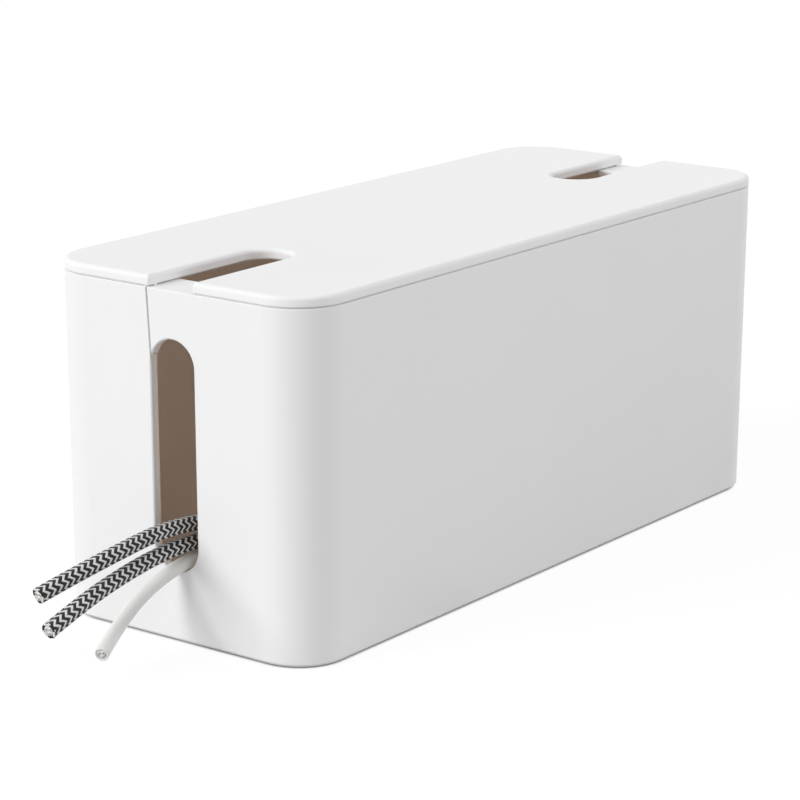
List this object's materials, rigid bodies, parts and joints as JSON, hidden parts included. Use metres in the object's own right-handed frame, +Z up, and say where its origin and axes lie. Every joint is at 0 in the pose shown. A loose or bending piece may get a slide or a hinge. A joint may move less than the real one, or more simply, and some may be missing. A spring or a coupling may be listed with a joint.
{
  "type": "cable management box",
  "caption": "White moulded box that hides cables and a power strip, with cable slots in both ends, a lift-off notched lid and rubber feet.",
  "frame": {"origin": "centre of the footprint, on the surface that the feet stand on", "axes": "+X along the box, with the cables leaving the -X end; -Y is the front face; +Z up"},
  "size_m": [0.4173, 0.135, 0.148],
  "materials": {
    "shell": "fine satin moulded plastic, warm brown inside",
    "cover": "fine satin moulded plastic",
    "foot": "matt moulded rubber",
    "braid": "black and white zigzag textile braid",
    "cable_jacket": "smooth soft PVC"
  },
  "bodies": {
    "box": {"body": "shell", "foot_front_left": "foot", "foot_front_right": "foot", "foot_rear_left": "foot", "foot_rear_right": "foot", "cable_braided_upper": "braid", "cable_braided_lower": "braid", "cable_plain": "cable_jacket"},
    "cover": {"lid": "cover"}
  },
  "joints": [
    {"name": "lid_lift", "type": "slide", "parent": "box", "child": "cover", "axis": [0, 0, 1], "range_m": [0, 0.06]}
  ]
}
